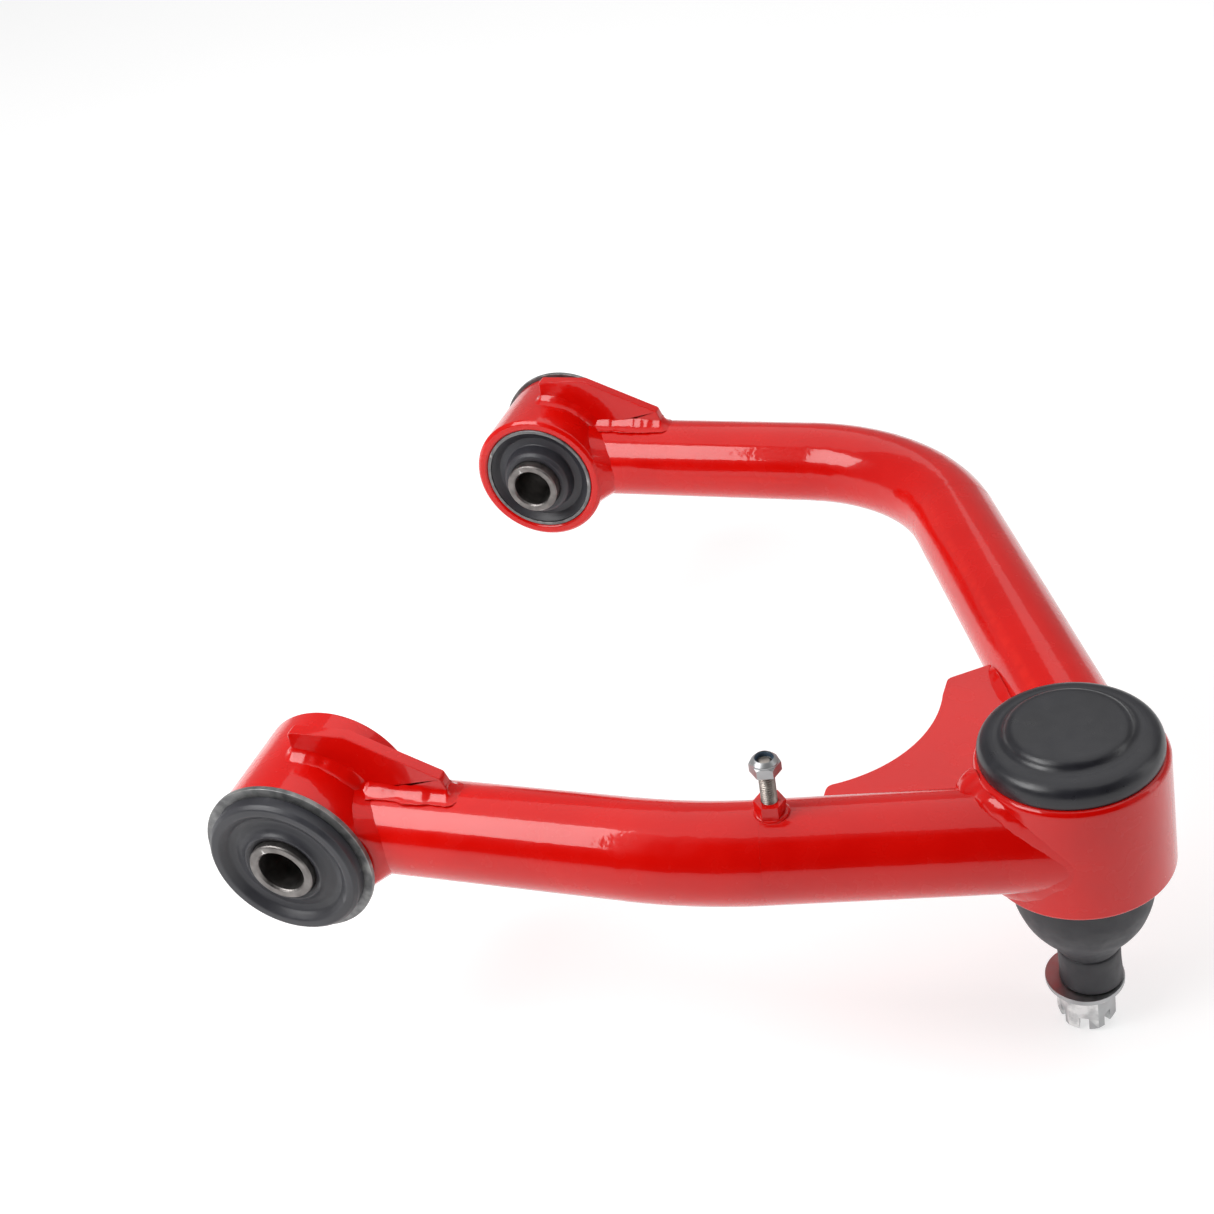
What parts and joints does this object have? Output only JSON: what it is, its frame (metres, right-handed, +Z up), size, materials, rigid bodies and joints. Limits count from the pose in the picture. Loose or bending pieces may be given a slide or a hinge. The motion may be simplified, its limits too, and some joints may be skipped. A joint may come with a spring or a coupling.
{
  "type": "control arm",
  "caption": "Tubular suspension control arm with rubber pivot bushes at one side and a ball joint with a downward tapered stud at the other.",
  "frame": {"origin": "centre of the front bush, on the pivot axis", "axes": "+X from the pivot axis towards the ball joint, +Y along the pivot axis from front bush to rear bush, +Z up, away from the ball stud"},
  "size_m": [0.3537, 0.3485, 0.1478],
  "materials": {
    "red_paint": "gloss red paint",
    "shell_steel": "dark coated steel",
    "sleeve_steel": "machined steel",
    "zinc": "bright zinc plate",
    "stud_steel": "dull plated thread",
    "spring_steel": "oiled spring steel",
    "rubber": "satin black rubber",
    "boot_rubber": "satin black rubber",
    "cap_plastic": "satin black moulding",
    "seat_plastic": "natural bearing plastic",
    "insert_steel": "turned steel",
    "nylon": "blue nylon"
  },
  "bodies": {
    "arm": {"short_leg": "red_paint", "long_leg": "red_paint", "ball_joint_cup": "red_paint", "web_plate": "red_paint", "front_bush_housing": "red_paint", "rear_bush_housing": "red_paint", "front_gusset": "red_paint", "rear_gusset": "red_paint", "front_bush_shell": "shell_steel", "rear_bush_shell": "shell_steel", "front_bush_rubber": "rubber", "rear_bush_rubber": "rubber", "joint_insert": "insert_steel", "lower_ball_seat": "seat_plastic", "upper_ball_seat": "seat_plastic", "preload_spring": "spring_steel", "cover_plate": "insert_steel", "snap_ring": "spring_steel", "dust_cap": "cap_plastic", "dust_boot": "boot_rubber", "boot_clamp_ring": "spring_steel", "bracket_weld_nut": "red_paint", "bracket_stud": "stud_steel", "lock_nut": "zinc", "lock_nut_insert": "nylon"},
    "front_sleeve": {"front_inner_sleeve": "sleeve_steel"},
    "rear_sleeve": {"rear_inner_sleeve": "sleeve_steel"},
    "washer": {"nut_washer": "zinc"},
    "stud": {"ball_stud": "stud_steel", "castle_nut": "zinc"}
  },
  "joints": [
    {"name": "front_bush_twist", "type": "hinge", "parent": "arm", "child": "front_sleeve", "pos_m": [0, 0, 0], "axis": [0, 1, 0], "range_deg": [-30, 30], "stiffness_Nm_per_rad": 2},
    {"name": "rear_bush_twist", "type": "hinge", "parent": "arm", "child": "rear_sleeve", "pos_m": [0, 0.281, 0], "axis": [0, 1, 0], "range_deg": [-30, 30], "stiffness_Nm_per_rad": 2},
    {"name": "ball_swing", "type": "hinge", "parent": "arm", "child": "washer", "pos_m": [0.284, 0.043, 0.0005], "axis": [0, 1, 0], "range_deg": [-24, 20], "deforming": ["dust_boot"]},
    {"name": "stud_spin", "type": "hinge", "parent": "washer", "child": "stud", "pos_m": [0.284, 0.043, 0.0005], "axis": [0.0401, 0, -0.9992], "continuous": true}
  ],
  "couplings": [
    {"joint": "rear_bush_twist", "follows": "front_bush_twist", "ratio": 1}
  ]
}
